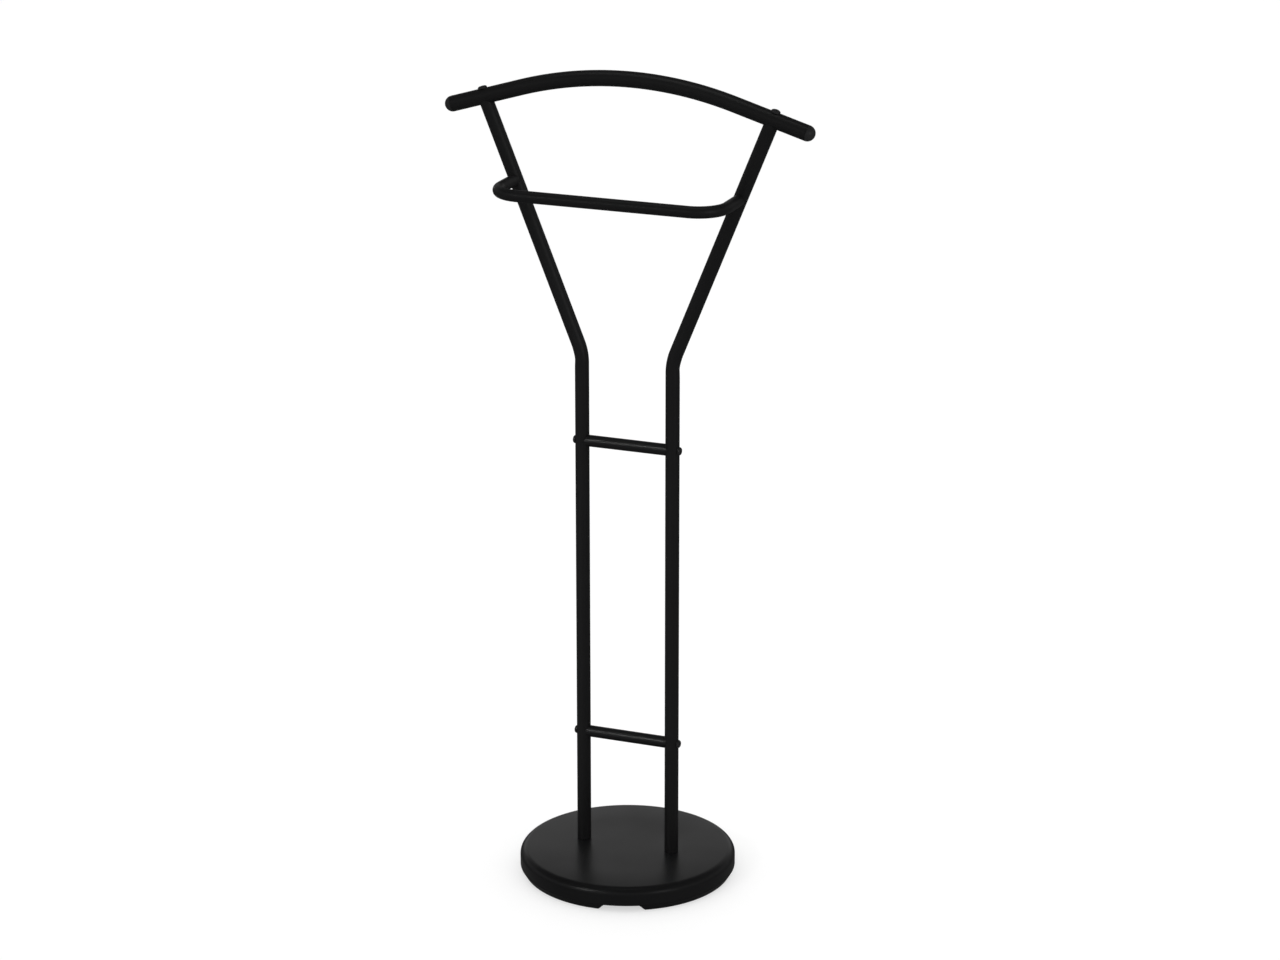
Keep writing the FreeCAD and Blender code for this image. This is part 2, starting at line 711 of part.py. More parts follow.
os.makedirs("parts", exist_ok=True)
for part in nodes:
    part.Shape.exportStep(f"parts/{part.Label}.step")
    box = part.Shape.BoundBox
    print(f"{part.Label:16s} solids {len(part.Shape.Solids)}  volume {part.Shape.Volume:10.1f}"
          f"  x {box.XMin:7.1f} {box.XMax:7.1f}  y {box.YMin:7.1f} {box.YMax:7.1f}"
          f"  z {box.ZMin:7.1f} {box.ZMax:7.1f}")
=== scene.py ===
import bpy
import numpy as np
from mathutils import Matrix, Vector


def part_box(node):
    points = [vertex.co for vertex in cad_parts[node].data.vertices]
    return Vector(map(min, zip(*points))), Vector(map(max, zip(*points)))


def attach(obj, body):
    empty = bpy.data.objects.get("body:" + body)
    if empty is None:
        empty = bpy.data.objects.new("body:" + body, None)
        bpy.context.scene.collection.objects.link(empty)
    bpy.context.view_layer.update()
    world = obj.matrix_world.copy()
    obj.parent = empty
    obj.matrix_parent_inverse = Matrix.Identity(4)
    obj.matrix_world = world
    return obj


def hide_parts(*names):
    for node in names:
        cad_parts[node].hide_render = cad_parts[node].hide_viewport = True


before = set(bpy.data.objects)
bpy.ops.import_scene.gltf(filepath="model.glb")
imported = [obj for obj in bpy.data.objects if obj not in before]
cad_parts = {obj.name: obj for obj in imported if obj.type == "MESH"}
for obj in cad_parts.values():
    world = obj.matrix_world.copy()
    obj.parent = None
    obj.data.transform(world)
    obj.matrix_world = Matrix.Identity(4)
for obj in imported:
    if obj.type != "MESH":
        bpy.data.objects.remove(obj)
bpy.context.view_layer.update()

millimetre = 0.001
fullTurn = 2 * np.pi
xAxis = np.array([1.0, 0.0, 0.0])
yAxis = np.array([0.0, 1.0, 0.0])
zAxis = np.array([0.0, 0.0, 1.0])
mirrorX = np.array([-1.0, 1.0, 1.0])
sharpAngle = 40.0             # an edge that turns by more than this is shaded as an edge


def nodeBox(node):
    # Lowest and highest corner of a CAD node, in millimetres.
    low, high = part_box(node)
    return np.array(low) / millimetre, np.array(high) / millimetre


def toLinear(hexColour):
    # sRGB hex to linear light: c / 12.92 near black, ((c + 0.055) / 1.055) ^ 2.4 above.
    channels = np.array([int(hexColour[i:i + 2], 16) / 255 for i in (1, 3, 5)])
    linear = np.where(channels <= 0.04045, channels / 12.92, ((channels + 0.055) / 1.055) ** 2.4)
    return (*linear.tolist(), 1.0)


def addNode(tree, kind, settings=None, **links):
    # One node. A setting is an input socket's value, or else a property; a link names an input and a source.
    made = tree.nodes.new(kind)
    for key, value in (settings or {}).items():
        if key in made.inputs:
            made.inputs[key].default_value = value
        else:
            setattr(made, key, value)
    for key, source in links.items():
        tree.links.new(source, made.inputs[key.replace("_", " ")])
    return made


def newMaterial(name):
    # A material with an empty node tree, to which the caller adds every node.
    material = bpy.data.materials.new(name)
    material.use_nodes = True
    material.node_tree.nodes.clear()
    return material, material.node_tree


def smooth(value):
    # The smooth step: s = value held between 0 and 1, then 3 s^2 - 2 s^3.
    share = np.clip(value, 0, 1)
    return share ** 2 * (3 - 2 * share)


# Materials

mixFirst, mixSecond, mixResult = 6, 7, 2      # the colour sockets of a Mix node


def followNoise(tree, noise, finish):
    # Colour and roughness that both follow a noise: the colour runs from colour to other, the roughness from
    # roughness - spread to roughness + spread over the values that the noise mostly takes.
    colour = addNode(tree, "ShaderNodeMix", {"data_type": "RGBA"}, Factor=noise)
    colour.inputs[mixFirst].default_value = toLinear(finish["colour"])
    colour.inputs[mixSecond].default_value = toLinear(finish["other"])
    low, high = (finish["roughness"] + side * finish["spread"] for side in (-1, 1))
    roughness = addNode(tree, "ShaderNodeMapRange", {
        "From Min": 0.3, "From Max": 0.7, "To Min": low, "To Max": high}, Value=noise)
    return {"Base_Color": colour.outputs[mixResult], "Roughness": roughness.outputs["Result"]}


powderCoat = {
    "colour": "#0A0A0B",      # satin black, a trace cooler than neutral
    "other": "#0E0E0F",       # where the film is thinner
    "roughness": 0.44,
    "spread": 0.02,           # how far the roughness wanders either way
    "ior": 1.50,
    "peel": 3.0,              # orange peel, crest to crest
    "peelHeight": 0.012,
    "grain": 0.9,             # powder grain is 0.05 mm; drawn coarser so that it shows
    "grainHeight": 0.003,
    "streak": 85.0,           # where the cured film pooled
}


def makePowderCoat():
    # Powder-coated steel: a baked polyester film. Its faint orange peel breaks up every highlight.
    material, tree = newMaterial("powder-coated steel")
    place = addNode(tree, "ShaderNodeTexCoord").outputs["Object"]
    streak = addNode(tree, "ShaderNodeTexNoise", {
        "Scale": 1 / (powderCoat["streak"] * millimetre), "Detail": 3.0, "Roughness": 0.6}, Vector=place)
    peel = addNode(tree, "ShaderNodeTexNoise", {
        "Scale": 1 / (powderCoat["peel"] * millimetre), "Detail": 1.0}, Vector=place)
    grain = addNode(tree, "ShaderNodeTexNoise", {
        "Scale": 1 / (powderCoat["grain"] * millimetre), "Detail": 0.0}, Vector=place)
    waves = addNode(tree, "ShaderNodeBump", {"Distance": powderCoat["peelHeight"] * millimetre},
                    Height=peel.outputs["Fac"])
    speckle = addNode(tree, "ShaderNodeBump", {"Distance": powderCoat["grainHeight"] * millimetre},
                      Height=grain.outputs["Fac"], Normal=waves.outputs["Normal"])
    paint = addNode(tree, "ShaderNodeBsdfPrincipled", {"IOR": powderCoat["ior"]},
                    Normal=speckle.outputs["Normal"], **followNoise(tree, streak.outputs["Fac"], powderCoat))
    addNode(tree, "ShaderNodeOutputMaterial", Surface=paint.outputs["BSDF"])
    return material


mouldedAbs = {
    "colour": "#080809",
    "other": "#0C0C0D",       # polished a little lighter by shoes and dusters
    "roughness": 0.33,
    "spread": 0.04,
    "ior": 1.52,
    "texture": 1.2,           # spark-eroded grain is 0.15 mm; drawn coarser so that it shows
    "textureHeight": 0.006,
    "flow": 90.0,             # broad, faint changes of gloss from the mould
}


def makeMouldedAbs():
    # ABS moulded in a spark-eroded tool: even satin, with a fine dry grain that softens reflections.
    material, tree = newMaterial("moulded ABS")
    place = addNode(tree, "ShaderNodeTexCoord").outputs["Object"]
    flow = addNode(tree, "ShaderNodeTexNoise", {
        "Scale": 1 / (mouldedAbs["flow"] * millimetre), "Detail": 2.0}, Vector=place)
    texture = addNode(tree, "ShaderNodeTexNoise", {
        "Scale": 1 / (mouldedAbs["texture"] * millimetre), "Detail": 2.0, "Roughness": 0.7}, Vector=place)
    bump = addNode(tree, "ShaderNodeBump", {"Distance": mouldedAbs["textureHeight"] * millimetre},
                   Height=texture.outputs["Fac"])
    plastic = addNode(tree, "ShaderNodeBsdfPrincipled", {"IOR": mouldedAbs["ior"]},
                      Normal=bump.outputs["Normal"], **followNoise(tree, flow.outputs["Fac"], mouldedAbs))
    addNode(tree, "ShaderNodeOutputMaterial", Surface=plastic.outputs["BSDF"])
    return material


# The plainer finishes share one recipe: a colour that wanders between two shades at the grain's size,
# roughness that follows it, and a bump of the same grain. Each grain is finer in life, a tenth of a
# millimetre to a third, and is drawn coarser so that it shows.
finishes = {
    "capPolyethylene": {
        # moulded polyethylene: waxy, so softer in the highlight than the tube beside it
        "name": "moulded polyethylene", "colour": "#19191A", "other": "#1E1E1F", "metallic": 0.0,
        "roughness": 0.44, "spread": 0.05, "grain": 1.0, "height": 0.006},
    "blackSteel": {
        # black-oxide steel: dark, a little metallic, with the polish left by the cold heading
        "name": "black-plated steel", "colour": "#2A2A2B", "other": "#363637", "metallic": 0.6,
        "roughness": 0.38, "spread": 0.06, "grain": 0.8, "height": 0.004},
    "zincPlate": {
        # bright zinc plate: silvery, slightly clouded
        "name": "zinc-plated steel", "colour": "#B9BBBC", "other": "#D2D3D1", "metallic": 1.0,
        "roughness": 0.30, "spread": 0.08, "grain": 1.4, "height": 0.004},
    "castIron": {
        # sand-cast iron: dark grey with the sand's pitting
        "name": "sand-cast iron", "colour": "#4A4744", "other": "#615C57", "metallic": 0.7,
        "roughness": 0.62, "spread": 0.10, "grain": 1.6, "height": 0.12},
    "padRubber": {
        # moulded rubber: matt and slightly dusty
        "name": "moulded rubber", "colour": "#222222", "other": "#2C2B2A", "metallic": 0.0,
        "roughness": 0.78, "spread": 0.07, "grain": 0.9, "height": 0.015},
}


def makeFinish(finish):
    # Colour and roughness both follow one noise at the grain's size, and the same noise is the bump.
    material, tree = newMaterial(finish["name"])
    place = addNode(tree, "ShaderNodeTexCoord").outputs["Object"]
    grain = addNode(tree, "ShaderNodeTexNoise", {
        "Scale": 1 / (finish["grain"] * millimetre), "Detail": 3.0, "Roughness": 0.6}, Vector=place)
    bump = addNode(tree, "ShaderNodeBump", {"Distance": finish["height"] * millimetre},
                   Height=grain.outputs["Fac"])
    surface = addNode(tree, "ShaderNodeBsdfPrincipled", {"Metallic": finish["metallic"]},
                      Normal=bump.outputs["Normal"], **followNoise(tree, grain.outputs["Fac"], finish))
    addNode(tree, "ShaderNodeOutputMaterial", Surface=surface.outputs["BSDF"])
    return material


looks = {"powderCoat": makePowderCoat(), "mouldedAbs": makeMouldedAbs()}
looks.update({key: makeFinish(finish) for key, finish in finishes.items()})
print("materials:", len(looks))


# Mesh helpers. A shell is a grid of points, rows along the shape and columns round it. The columns always
# join up. The rows join up too in a tube with a wall; otherwise each end closes on a pole.

def closeShell(rings, poles):
    # Corner numbers of every face: quads between neighbouring rows, and a fan of triangles to each pole.
    rows, columns = rings.shape[:2]
    index = np.arange(rows * columns).reshape(rows, columns)
    upper = index if poles is None else index[:-1]
    lower = np.roll(index, -1, axis=0) if poles is None else index[1:]
    quads = np.stack([upper, np.roll(upper, -1, 1), np.roll(lower, -1, 1), lower], axis=-1).reshape(-1, 4)
    points = rings.reshape(-1, 3)
    if poles is None:
        return points, quads, np.zeros((0, 3), int)
    first = np.full(columns, rows * columns)
    fans = np.concatenate([
        np.stack([first, np.roll(index[0], -1), index[0]], axis=-1),
        np.stack([first + 1, index[-1], np.roll(index[-1], -1)], axis=-1)])
    return np.concatenate([points, np.array(poles)]), quads, fans


def signedVolume(points, quads, fans):
    # Sum over the triangles of a . (b x c) / 6: positive when the faces point outwards.
    triangles = np.concatenate([quads[:, :3], quads[:, [0, 2, 3]], fans])
    a, b, c = (points[triangles[:, k]] for k in range(3))
    return np.einsum("ij,ij->i", a, np.cross(b, c)).sum() / 6


def addPiece(name, shells, look, nodes):
    # Joins closed shells into one piece, turns their faces outwards and puts it on the frame.
    points, faces = [], []
    count = 0
    for shell in shells:
        corners, quads, fans = closeShell(*shell)
        if signedVolume(corners, quads, fans) < 0:
            quads, fans = quads[:, ::-1], fans[:, ::-1]
        faces += (quads + count).tolist() + (fans + count).tolist()
        points.append(corners * millimetre)
        count += len(corners)
    mesh = bpy.data.meshes.new(name)
    mesh.from_pydata(np.concatenate(points).tolist(), [], faces)
    mesh.shade_smooth()
    mesh.set_sharp_from_angle(angle=np.radians(sharpAngle))
    mesh.materials.append(looks[look])
    piece = bpy.data.objects.new(name, mesh)
    bpy.context.scene.collection.objects.link(piece)
    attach(piece, "root")
    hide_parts(*nodes)
    print(f"{name}: {len(faces)} faces")


def softened(corners, steps=6):
    # An outline through (r, z, radius) corners. Each corner with a radius becomes the arc that touches both
    # of its sides: its ends lie radius / tan(half the corner's angle) away from the corner.
    outline = []
    for k, (r, z, radius) in enumerate(corners):
        here = np.array([r, z], float)
        if radius == 0:
            outline.append(here[None])
            continue
        before = np.array(corners[k - 1][:2], float) - here
        after = np.array(corners[(k + 1) % len(corners)][:2], float) - here
        before /= np.linalg.norm(before)
        after /= np.linalg.norm(after)
        half = np.arccos(before @ after) / 2
        middle = here + (before + after) / np.linalg.norm(before + after) * radius / np.sin(half)
        start = here + before * radius / np.tan(half) - middle
        end = here + after * radius / np.tan(half) - middle
        sweep = np.pi - 2 * half
        share = np.linspace(0, 1, steps)[:, None]
        arc = (np.sin((1 - share) * sweep) * start + np.sin(share * sweep) * end) / np.sin(sweep)
        outline.append(middle + arc)
    return np.concatenate(outline)


def around(columns):
    # The columns' angles: full turn * k / columns.
    return np.arange(columns) / columns * fullTurn


def turned(outline, columns, centre=(0, 0)):
    # A profile of (radius, height) turned about a vertical axis: x = cx + r cos a, y = cy + r sin a, z = h.
    angle = around(columns)
    radius, height = outline[:, :1], outline[:, 1:]
    x = centre[0] + radius * np.cos(angle)
    y = centre[1] + radius * np.sin(angle)
    return np.stack([x, y, height + 0 * angle], axis=-1)


def pointed(points, origin, axis, reference):
    # Carries points made about +Z to a place where +Z is axis and +X is reference:
    # origin + x * reference + y * (axis x reference) + z * axis.
    side = np.cross(axis, reference)
    return np.asarray(origin) + points @ np.array([reference, side, axis])


def followPath(along, origin, heading, turnSide, legs):
    # Legs are (length, radius), radius 0 for a straight one; a bend turns towards turnSide. On a bend the
    # heading's angle grows by length / radius, and the place by radius * (sin, 1 - cos) of that angle.
    x, y, angle = (np.zeros_like(along) for _ in range(3))
    startX, startY, startAngle, reached = 0.0, 0.0, 0.0, 0.0
    for length, radius in legs:
        local = along - reached
        if radius == 0:
            legAngle = startAngle + 0 * local
            legX = startX + local * np.cos(startAngle)
            legY = startY + local * np.sin(startAngle)
            ahead = startX + length * np.cos(startAngle), startY + length * np.sin(startAngle), startAngle
        else:
            legAngle = startAngle + local / radius
            legX = startX + radius * (np.sin(legAngle) - np.sin(startAngle))
            legY = startY + radius * (np.cos(startAngle) - np.cos(legAngle))
            endAngle = startAngle + length / radius
            ahead = (startX + radius * (np.sin(endAngle) - np.sin(startAngle)),
                     startY + radius * (np.cos(startAngle) - np.cos(endAngle)), endAngle)
        here = local >= 0
        x, y, angle = np.where(here, legX, x), np.where(here, legY, y), np.where(here, legAngle, angle)
        startX, startY, startAngle = ahead
        reached += length
    place = np.asarray(origin, float) + x[..., None] * heading + y[..., None] * turnSide
    normal = -np.sin(angle)[..., None] * heading + np.cos(angle)[..., None] * turnSide
    return place, normal


def tubeShell(tube, rows, startTrim, endTrim, shape=None):
    # A bent tube with its wall: the outer skin one way and the bore back. Each ring is centre + radius *
    # (cos a * normal + sin a * side). The trims give, for a radius and the angles, how far along the path
    # the end lies at each angle, so that a coped end fits the tube it meets. The rings within ease of an end
    # lean into its shape by their share of that length, and the outer skin's last rings round off the lip.
    angle = around(tube["columns"])
    length = sum(leg[0] for leg in tube["legs"])
    side = np.cross(tube["heading"], tube["turnSide"])
    ease, lip = tube["ease"], tube["lip"]
    inner = rows[(rows > ease) & (rows < length - ease)]
    nearEnd = np.concatenate([lip * np.arange(3), np.linspace(4 * lip, ease, 6)])
    rows = np.concatenate([nearEnd, inner, length - nearEnd[::-1]])[:, None]
    fromEnd = np.minimum(rows, length - rows)
    skins = []
    for bore in (False, True):
        radius = tube["radius"] - (tube["wall"] if bore else 0)
        start, end = startTrim(radius, angle), endTrim(radius, angle)
        along = np.where(rows < ease, start + (ease - start) * rows / ease, rows + 0 * angle)
        along = np.where(length - rows < ease, end + (length - ease - end) * (length - rows) / ease, along)
        ringRadius = radius + 0 * along
        if shape is not None and not bore:
            ringRadius = shape(ringRadius, along, angle)
        if not bore:
            ringRadius = ringRadius - lip * np.clip(1 - fromEnd / lip, 0, 1)
        centre, normal = followPath(along, tube["origin"], tube["heading"], tube["turnSide"], tube["legs"])
        direction = np.cos(angle)[:, None] * normal + np.sin(angle)[:, None] * side
        skins.append(centre + ringRadius[..., None] * direction)
    return np.concatenate([skins[0], skins[1][::-1]]), None


def pressedFlat(radius, along, angle, seat):
    # A flat pressed into the tube: the skin is cut back to seat height / cos(angle from its middle), and the
    # height climbs back to the full radius by a smooth step past the seat's ends. It acts within 60 degrees.
    past = smooth((np.abs(along - seat["along"]) - seat["reach"]) / seat["fade"])
    height = seat["height"] + (seat["full"] - seat["height"]) * past
    facing = np.cos(angle - seat["angle"])
    widest = np.cos(np.pi / 3)
    return np.where(facing > widest, np.minimum(radius, height / np.maximum(facing, widest)), radius)


def denseRows(length, tube, places):
    # Ring places along a path: one every rowStep, and close ones within closeReach of each detail's place.
    close = np.linspace(-tube["closeReach"], tube["closeReach"], tube["closeRows"])
    rows = [np.arange(0, length, tube["rowStep"]), *(place + close for place in places)]
    return np.unique(np.round(np.concatenate(rows), 3))


# Base

coverLow, coverHigh = nodeBox("base_cover")
plateLow, plateHigh = nodeBox("base_plate")

base = {
    "radius": coverHigh[0],
    "top": coverHigh[2],
    "rim": coverLow[2],
    "edge": 10.5,             # radius of the round top edge
    "crown": 0.9,             # the top falls this far by the time it reaches the round edge
    "crownStart": 86.0,
    "wall": 3.0,
    "lip": 0.5,               # rounding of the moulded rims
    "bossRounding": 0.3,
    "webTop": plateHigh[2],
    "plateFoot": plateLow[2],
    "ringInner": 117.0,       # inner radius of the foot ring
    "ringFoot": 134.6,        # the ring tapers in to this radius at the floor
    "gap": 0.2,               # clearance between the cover and the plate
    "notchAngle": 18.4,
    "notches": 4,
    "notchTop": 22.5,         # half widths of a notch
    "notchFoot": 30.0,
    "notchEase": 0.04,        # softens the corners of its sides
    "chamfer": 0.3,           # on the plate's edges
    "film": 0.03,             # these two keep the plate's rows a little apart where a notch reaches the web
    "hair": 0.02,
    # The mesh's columns are spokes inside the first radius and more than the second angle from a notch's
    # middle. Beyond the second radius and within the first angle they run parallel to its middle line.
    "spokeRadii": (60.0, 100.0),
    "spokeAngles": (20.0, 34.0),
    "boltRadius": 12.0,
    "boltBore": 4.3,
    "screwRadius": 4.5,
    "screwBore": 1.6,
    "screwCircle": 104.0,
    "hub": 4.0,               # the innermost ring of the cover's mesh, and of the plate's
    "plateHub": 10.0,
    "ringGap": 1.0,           # between a flat stretch's last ring and the edge that follows
    "columns": 360,
    "bossColumns": 48,
    "edgeSteps": 20,
}


def makeBaseCover():
    # A drum, open below: the profile runs out over the top, round the edge, down the wall and back inside.
    # The top falls by crown * (share of the way from crownStart to the edge)^2, and wins that back in the
    # edge. Under it hang two bosses for the uprights' bolts, and between the notches one for each screw.
    radius, top, rim = base["radius"], base["top"], base["rim"]
    wall, edge, lip = base["wall"], base["edge"], base["lip"]
    ringGap, crownStart = base["ringGap"], base["crownStart"]
    flatRings, crownRings = 6, 24
    flat = np.concatenate([np.linspace(base["hub"], crownStart - 2 * ringGap, flatRings),
                           np.linspace(crownStart, radius - edge - ringGap, crownRings)])
    outside = softened([(0, top, 0), (radius, top, edge), (radius, rim, lip),
                        (radius - wall, rim, lip), (radius - wall, top - wall, edge - wall),
                        (0, top - wall, 0)], base["edgeSteps"])[1:-1]
    upper = np.stack([flat, 0 * flat + top], -1)
    for part in (upper, outside):
        share = np.clip((part[:, 0] - crownStart) / (radius - edge - crownStart), 0, 1)
        regained = np.clip((part[:, 1] - top + edge) / edge, 0, 1)
        part[:, 1] -= base["crown"] * share ** 2 * regained
    under = np.stack([flat[::-1], 0 * flat + top - wall], -1)
    outline = np.concatenate([upper, outside, under])
    shells = [(turned(outline, base["columns"]), ([0, 0, top], [0, 0, top - wall]))]
    bossFoot, bossTop, rounding = base["webTop"] + base["gap"], top - wall / 2, base["bossRounding"]
    places = [(side * upright["x"], 0.0, base["boltRadius"], base["boltBore"]) for side in (1, -1)]
    for k in range(base["notches"]):
        turn = np.radians(base["notchAngle"] + (k + 0.5) * 360 / base["notches"])
        places.append((base["screwCircle"] * np.cos(turn), base["screwCircle"] * np.sin(turn),
                       base["screwRadius"], base["screwBore"]))
    for x, y, outer, bore in places:
        tube = softened([(r, z, rounding) for r, z in (
            (outer, bossFoot), (outer, bossTop), (bore, bossTop), (bore, bossFoot))])
        shells.append((turned(tube, base["bossColumns"], (x, y)), None))
    addPiece("baseCover", shells, "mouldedAbs", ["base_cover"])


def makeBasePlate():
    # The bottom plate: a web inside the drum's rim over a tapered foot ring. At each angle the ring's lower
    # edge stands at the foot's height, and inside a notch it climbs its slanted side to the web:
    # height = ceiling - (ceiling - foot) * share of the way down the side. The columns near a notch run
    # parallel to its middle line, so that its sides are straight.
    rim, foot, ringFoot, inner = base["rim"], base["plateFoot"], base["ringFoot"], base["ringInner"]
    lip, chamfer, film, hair = base["lip"], base["chamfer"], base["film"], base["hair"]
    outer = base["radius"] - base["gap"]
    web = base["radius"] - base["wall"] - base["gap"]
    middle = (inner + outer) / 2
    pitch = fullTurn / base["notches"]
    sideColumns, farColumns, middleColumns, margin = 34, 16, 9, 3.0
    fine = np.linspace(base["notchTop"] - margin, base["notchFoot"] + margin, sideColumns)
    fine = np.arcsin(fine / middle)
    coarse = np.linspace(fine[-1], pitch / 2, farColumns)[1:]
    between = np.linspace(0, fine[0], middleColumns)[:-1]
    halfPitch = np.concatenate([between, fine, coarse])
    offset = np.concatenate([-halfPitch[:0:-1], halfPitch[:-1]])
    turn = np.radians(base["notchAngle"]) + np.arange(base["notches"])[:, None] * pitch
    notchTurn = (turn + 0 * offset).ravel()
    offset = np.tile(offset, base["notches"])
    across = np.abs(middle * np.sin(offset))
    slant = (across - base["notchTop"]) / (base["notchFoot"] - base["notchTop"])
    slant = np.clip(slant, 0, 1)
    slant = slant - base["notchEase"] * np.sin(slant * fullTurn)
    ceiling = rim - 2 * film
    low = ceiling - (ceiling - foot) * slant
    straight, spoke = np.radians(base["spokeAngles"])
    parallel = smooth((spoke - np.abs(offset)) / (spoke - straight))
    first, last = base["spokeRadii"]

    def ring(radius, height):
        # A circle whose columns lie at asin(distance beside the notch / radius) where they run parallel.
        bent = np.arcsin(np.clip(middle * np.sin(offset) / radius, -1, 1))
        share = np.clip((radius - first) / (last - first), 0, 1)
        angle = notchTurn + offset + parallel * share * (bent - offset)
        return np.stack([radius * np.cos(angle), radius * np.sin(angle), height + 0 * offset], -1)

    def taper(height):
        # The ring's outer radius grows evenly from ringFoot at the foot to outer at the rim.
        return ringFoot + (outer - ringFoot) * (height - foot) / (rim - foot)

    # The rows run out over the web, down the taper, round the lip, in over the foot, up inside the ring and
    # back to the middle.
    webTop, hub, ringGap = base["webTop"], base["plateHub"], base["ringGap"]
    webRings, taperRows, footRings = 12, 10, 6
    rows = [ring(r, webTop) for r in np.linspace(hub, web - ringGap, webRings)]
    rows += [ring(web - chamfer, webTop), ring(web, webTop - chamfer)]
    rows += [ring(web, rim + chamfer), ring(web, rim)]
    rows += [ring(outer - chamfer, rim), ring(outer - hair, rim - film)]
    start = rim - film - hair
    for share in np.linspace(0.06, 1, taperRows):
        height = np.minimum(start + (low + lip - start) * share, rim - film - hair / 2 * share)
        rows.append(ring(taper(height), height))
    rows += [ring(taper(low) - lip * (1 - np.cos(t)), low + lip * (1 - np.sin(t)) * slant)
             for t in np.linspace(0, np.pi / 2, footRings)[1:]]
    rows += [ring(r, low) for r in np.linspace(ringFoot - 2 * ringGap, inner + lip, footRings)]
    rows += [ring(inner, low + lip * slant)]
    rows += [ring(inner, low + (rim - low) * share) for share in (0.5, 0.98)]
    rows += [ring(r, rim) for r in np.linspace(inner - lip, hub, webRings)]
    shell = (np.array(rows), ([0, 0, webTop], [0, 0, rim]))
    addPiece("basePlate", [shell], "mouldedAbs", ["base_plate"])


pad = {
    "rounding": 0.5,          # of the foot's edge
    "fineRounding": 0.2,      # of the upper edge and of the dish
    "land": 2.0,              # width of the face that stands on the floor
    "slope": 0.3,             # width of the dish's side, and the rounding that leads into it
    "dish": 0.15,
    "columns": 64,
}


def makeFootPads():
    # Turned discs with a rounded foot and a shallow dished face.
    fine, land, slope, dish = pad["fineRounding"], pad["land"], pad["slope"], pad["dish"]
    for k in range(base["notches"]):
        node = f"foot_pad_{k + 1}"
        low, high = nodeBox(node)
        radius = (high[0] - low[0]) / 2
        height = high[2]
        outline = softened([(0, height, 0), (radius, height, fine), (radius, 0, pad["rounding"]),
                            (radius - land, 0, slope), (radius - land - slope, dish, fine), (0, dish, 0)])
        centre = (low + high)[:2] / 2
        poles = ([*centre, height], [*centre, dish])
        shell = (turned(outline[1:-1], pad["columns"], centre), poles)
        addPiece(f"footPad{k + 1}", [shell], "padRubber", [node])


# Uprights and rungs

uprightLow, uprightHigh = nodeBox("right_upright")
plugHigh = nodeBox("foot_inserts")[1]
lowerLow, lowerHigh = nodeBox("lower_rung")
upperLow, upperHigh = nodeBox("upper_rung")
railLow, railHigh = nodeBox("trouser_loop")
barHigh = nodeBox("shoulder_bar")[1]

upright = {
    "radius": uprightHigh[1],
    "x": plugHigh[0] - plugHigh[1],       # the right plug's middle: its far side less its radius
    "foot": uprightLow[2],
    "wall": 1.2,
    "spreadStart": 694.0,     # where the two straight stretches would meet
    "spread": 22.1,
    "bend": 70.0,
    "seatDepth": 0.5,         # of the flats pressed under the bolt heads
    "seatReach": 5.6,
    "seatFade": 0.8,
    "dent": 0.55,             # the inside of the bend is pinched a little near its lower end
    "dentReach": 7.0,
    "dentFocus": 3,           # power of the cosine that narrows the dent across the tube
    "lip": 0.3,
    "ease": 24.0,
    "rowStep": 40.0,
    "closeReach": 7.5,
    "closeRows": 29,
    "bendMargin": 8.0,
    "bendRows": 33,
    "columns": 72,
}
bar = {
    "radius": barHigh[1],
    "crest": barHigh[2] - barHigh[1],
    "wall": 1.2,
    "arc": 490.0,
    "arcHalf": 140.0,
    "half": 233.0,            # the middle of each domed end
    "joint": 189.6,           # where the uprights meet it
    "seatDepth": 0.5,
    "seatReach": 6.3,
    "seatFade": 0.8,
    "lip": 0.3,
    "ease": 10.0,
    "rowStep": 8.0,
    "closeReach": 8.5,
    "closeRows": 29,
    "columns": 80,
}
slope = np.arcsin(bar["arcHalf"] / bar["arc"])
sag = bar["arc"] * (1 - np.cos(slope))
jointZ = bar["crest"] - sag - (bar["joint"] - bar["arcHalf"]) * np.tan(slope)
endZ = bar["crest"] - sag - (bar["half"] - bar["arcHalf"]) * np.tan(slope)
spread = np.radians(upright["spread"])
rungHeights = [(low[2] + high[2]) / 2 for low, high in ((lowerLow, lowerHigh), (upperLow, upperHigh))]
loopHeight = (railLow[2] + railHigh[2]) / 2
loopX = upright["x"] + (loopHeight - upright["spreadStart"]) * np.tan(spread)


